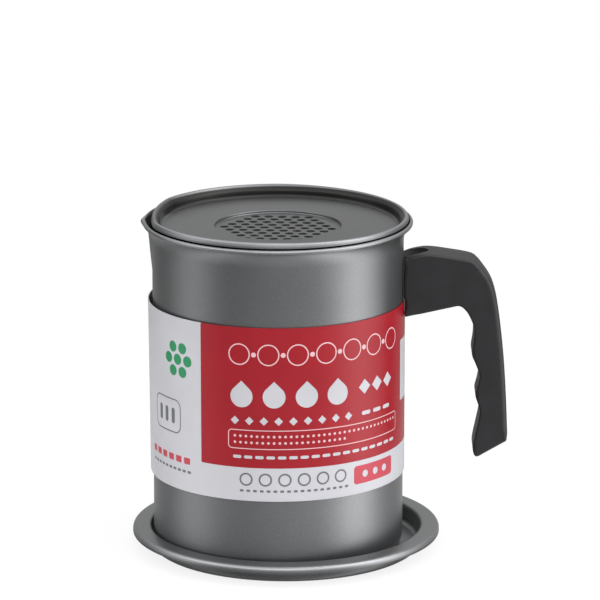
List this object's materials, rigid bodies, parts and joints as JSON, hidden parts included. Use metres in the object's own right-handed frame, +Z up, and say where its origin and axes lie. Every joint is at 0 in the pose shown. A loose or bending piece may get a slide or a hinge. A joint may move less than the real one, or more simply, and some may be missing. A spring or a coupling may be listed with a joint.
{
  "type": "bacon grease container",
  "caption": "Steel grease pot with a pour spout and a moulded side handle, a lift-out strainer pan over a fine mesh, a paper sleeve and a drip tray.",
  "frame": {"origin": "on the pot's axis, in the plane that the drip tray stands on", "axes": "+Z up along the pot's axis, +X towards the handle, -X towards the spout"},
  "size_m": [0.1683, 0.1382, 0.1538],
  "materials": {
    "coated_steel": "satin grey non-stick coat",
    "black_plastic": "moulded, fine matt grain",
    "pressed_steel": "bright pressed steel",
    "wire_steel": "woven stainless wire",
    "paper": "coated card, semi-gloss"
  },
  "bodies": {
    "tray": {"drip_tray": "coated_steel"},
    "pot": {"pot_body": "coated_steel", "handle_bracket": "pressed_steel", "handle_grip": "black_plastic", "handle_screw": "pressed_steel", "label_sleeve": "paper"},
    "strainer": {"strainer_pan": "coated_steel", "filter_mesh": "wire_steel", "mesh_ring": "pressed_steel"}
  },
  "joints": [
    {"name": "pot_lift", "type": "slide", "parent": "tray", "child": "pot", "axis": [0, 0, 1], "range_m": [0, 0.03]},
    {"name": "strainer_lift", "type": "slide", "parent": "pot", "child": "strainer", "axis": [0, 0, 1], "range_m": [0, 0.04]}
  ]
}
